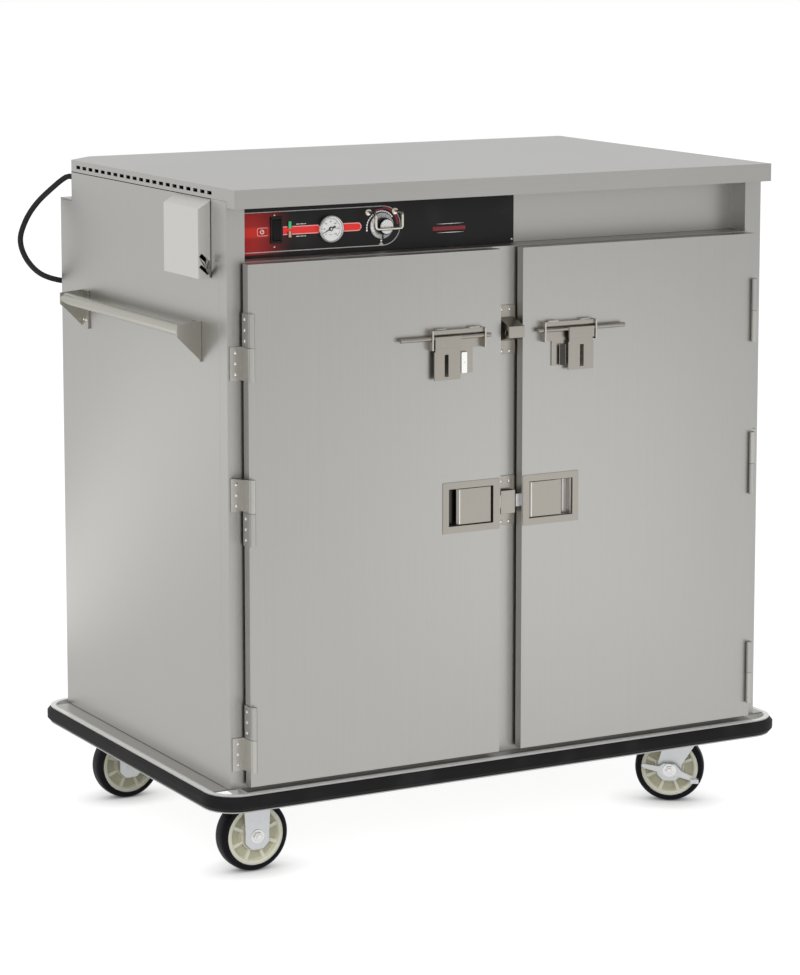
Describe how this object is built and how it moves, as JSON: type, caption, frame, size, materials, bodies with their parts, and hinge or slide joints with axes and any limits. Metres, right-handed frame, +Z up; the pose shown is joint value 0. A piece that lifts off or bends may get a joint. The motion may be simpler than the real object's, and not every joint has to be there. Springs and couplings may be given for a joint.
{
  "type": "meal tray cart",
  "caption": "Enclosed heated stainless cabinet for meal trays on casters, with hinged doors, slide bolts, a wrap-round bumper and recessed controls",
  "frame": {"origin": "on the floor, in the middle of the cart's footprint", "axes": "+X along the front to the viewer's right, +Y from the doors to the back, +Z up"},
  "size_m": [1.2683, 0.8405, 1.277],
  "materials": {
    "stainless": "brushed stainless sheet",
    "polished": "polished stainless fittings",
    "zinc": "zinc-plated pressed steel",
    "black_rubber": "black rubber",
    "wheel": "hard tread on a moulded hub",
    "black_panel": "black printed control panel",
    "black_plastic": "black plastic",
    "chrome": "chrome",
    "green_lens": "green lens",
    "amber_lens": "amber lens"
  },
  "bodies": {
    "cart": {"base_frame": "stainless", "bumper_strip": "black_rubber", "cabinet_liner": "stainless", "back_wall": "stainless", "door_frame": "stainless", "roof": "stainless", "louvre_box": "stainless", "control_panel": "black_panel", "pilot_lamp_green": "green_lens", "pilot_lamp_amber": "amber_lens", "thermometer_case": "chrome", "knob_guard": "polished", "heater_box": "stainless", "bolt_keeper": "polished", "latch_strike": "polished", "cord_gland": "black_plastic", "cord_hook": "polished", "cord_lead": "black_rubber", "cord_coil": "black_rubber", "plug": "black_plastic", "side_wall_left": "stainless", "push_handle_left": "polished", "tray_rack_left": "stainless", "left_hinge_leaf_bottom": "polished", "left_hinge_leaf_middle": "polished", "left_hinge_leaf_top": "polished", "side_wall_right": "stainless", "push_handle_right": "polished", "tray_rack_right": "stainless", "right_hinge_leaf_bottom": "polished", "right_hinge_leaf_middle": "polished", "right_hinge_leaf_top": "polished", "rigid_caster_front": "zinc", "swivel_plate_front": "zinc", "rigid_caster_rear": "zinc", "swivel_plate_rear": "zinc"},
    "left_door": {"left_door": "stainless", "left_door_seal": "black_rubber", "left_bolt_guide": "polished"},
    "left_paddle": {"left_latch_paddle": "polished"},
    "left_tongue": {"left_latch_tongue": "zinc"},
    "left_bolt": {"left_bolt_rod": "polished"},
    "right_door": {"right_door": "stainless", "right_door_seal": "black_rubber", "right_bolt_guide": "polished"},
    "right_paddle": {"right_latch_paddle": "polished"},
    "right_tongue": {"right_latch_tongue": "zinc"},
    "right_bolt": {"right_bolt_rod": "polished"},
    "rigid_wheel_front": {"rigid_wheel_front": "wheel"},
    "swivel_fork_front": {"swivel_fork_front": "zinc"},
    "swivel_wheel_front": {"swivel_wheel_front": "wheel"},
    "brake_lever_front": {"brake_lever_front": "zinc"},
    "rigid_wheel_rear": {"rigid_wheel_rear": "wheel"},
    "swivel_fork_rear": {"swivel_fork_rear": "zinc"},
    "swivel_wheel_rear": {"swivel_wheel_rear": "wheel"},
    "brake_lever_rear": {"brake_lever_rear": "zinc"},
    "thermostat_knob": {"thermostat_knob": "chrome"},
    "rocker_switch": {"rocker_switch": "black_plastic"},
    "thermometer_pointer": {"thermometer_pointer": "black_plastic"},
    "blower_wheel": {"blower_wheel": "zinc"}
  },
  "joints": [
    {"name": "left_door_swing", "type": "hinge", "parent": "cart", "child": "left_door", "pos_m": [-0.5394, -0.405, 0.667], "axis": [0, 0, -1], "range_deg": [0, 215]},
    {"name": "left_paddle_pull", "type": "hinge", "parent": "left_door", "child": "left_paddle", "pos_m": [-0.0435, -0.394, 0.667], "axis": [0, 0, 1], "range_deg": [0, 35], "stiffness_Nm_per_rad": 0.4, "springref_deg": -5.73},
    {"name": "left_tongue_slide", "type": "slide", "parent": "left_door", "child": "left_tongue", "axis": [-1, 0, 0], "range_m": [0, 0.007]},
    {"name": "left_bolt_slide", "type": "slide", "parent": "left_door", "child": "left_bolt", "axis": [1, 0, 0], "range_m": [0, 0.046]},
    {"name": "right_door_swing", "type": "hinge", "parent": "cart", "child": "right_door", "pos_m": [0.5394, -0.405, 0.667], "axis": [0, 0, 1], "range_deg": [0, 215]},
    {"name": "right_paddle_pull", "type": "hinge", "parent": "right_door", "child": "right_paddle", "pos_m": [0.0435, -0.394, 0.667], "axis": [0, 0, -1], "range_deg": [0, 35], "stiffness_Nm_per_rad": 0.4, "springref_deg": -5.73},
    {"name": "right_tongue_slide", "type": "slide", "parent": "right_door", "child": "right_tongue", "axis": [1, 0, 0], "range_m": [0, 0.007]},
    {"name": "right_bolt_slide", "type": "slide", "parent": "right_door", "child": "right_bolt", "axis": [-1, 0, 0], "range_m": [0, 0.046]},
    {"name": "rigid_wheel_front_spin", "type": "hinge", "parent": "cart", "child": "rigid_wheel_front", "pos_m": [-0.487, -0.283, 0.0685], "axis": [0, 1, 0], "continuous": true},
    {"name": "swivel_fork_front_turn", "type": "hinge", "parent": "cart", "child": "swivel_fork_front", "pos_m": [0.487, -0.283, 0.145], "axis": [0, 0, 1], "continuous": true},
    {"name": "swivel_wheel_front_spin", "type": "hinge", "parent": "swivel_fork_front", "child": "swivel_wheel_front", "pos_m": [0.45317, -0.25984, 0.0685], "axis": [0.565, 0.8251, 0], "continuous": true},
    {"name": "brake_lever_front_press", "type": "hinge", "parent": "swivel_fork_front", "child": "brake_lever_front", "pos_m": [0.45317, -0.25984, 0.0685], "axis": [0.565, 0.8251, 0], "range_deg": [0, 12]},
    {"name": "rigid_wheel_rear_spin", "type": "hinge", "parent": "cart", "child": "rigid_wheel_rear", "pos_m": [-0.487, 0.283, 0.0685], "axis": [0, 1, 0], "continuous": true},
    {"name": "swivel_fork_rear_turn", "type": "hinge", "parent": "cart", "child": "swivel_fork_rear", "pos_m": [0.487, 0.283, 0.145], "axis": [0, 0, 1], "continuous": true},
    {"name": "swivel_wheel_rear_spin", "type": "hinge", "parent": "swivel_fork_rear", "child": "swivel_wheel_rear", "pos_m": [0.44722, 0.27308, 0.0685], "axis": [-0.2419, 0.9703, 0], "continuous": true},
    {"name": "brake_lever_rear_press", "type": "hinge", "parent": "swivel_fork_rear", "child": "brake_lever_rear", "pos_m": [0.44722, 0.27308, 0.0685], "axis": [-0.2419, 0.9703, 0], "range_deg": [0, 12]},
    {"name": "thermostat_turn", "type": "hinge", "parent": "cart", "child": "thermostat_knob", "pos_m": [-0.236, -0.3373, 1.1905], "axis": [0, 1, 0], "range_deg": [0, 300]},
    {"name": "switch_rock", "type": "hinge", "parent": "cart", "child": "rocker_switch", "pos_m": [-0.452, -0.3283, 1.1935], "axis": [1, 0, 0], "range_deg": [0, 9]},
    {"name": "pointer_turn", "type": "hinge", "parent": "cart", "child": "thermometer_pointer", "pos_m": [-0.343, -0.3333, 1.1905], "axis": [0, 1, 0], "range_deg": [-15, 255]},
    {"name": "blower_spin", "type": "hinge", "parent": "cart", "child": "blower_wheel", "pos_m": [-0.2865, 0, 1.168], "axis": [0, 0, 1], "continuous": true}
  ],
  "couplings": [
    {"joint": "left_tongue_slide", "follows": "left_paddle_pull", "m_per_rad": 0.0114},
    {"joint": "right_tongue_slide", "follows": "right_paddle_pull", "m_per_rad": 0.0114}
  ]
}
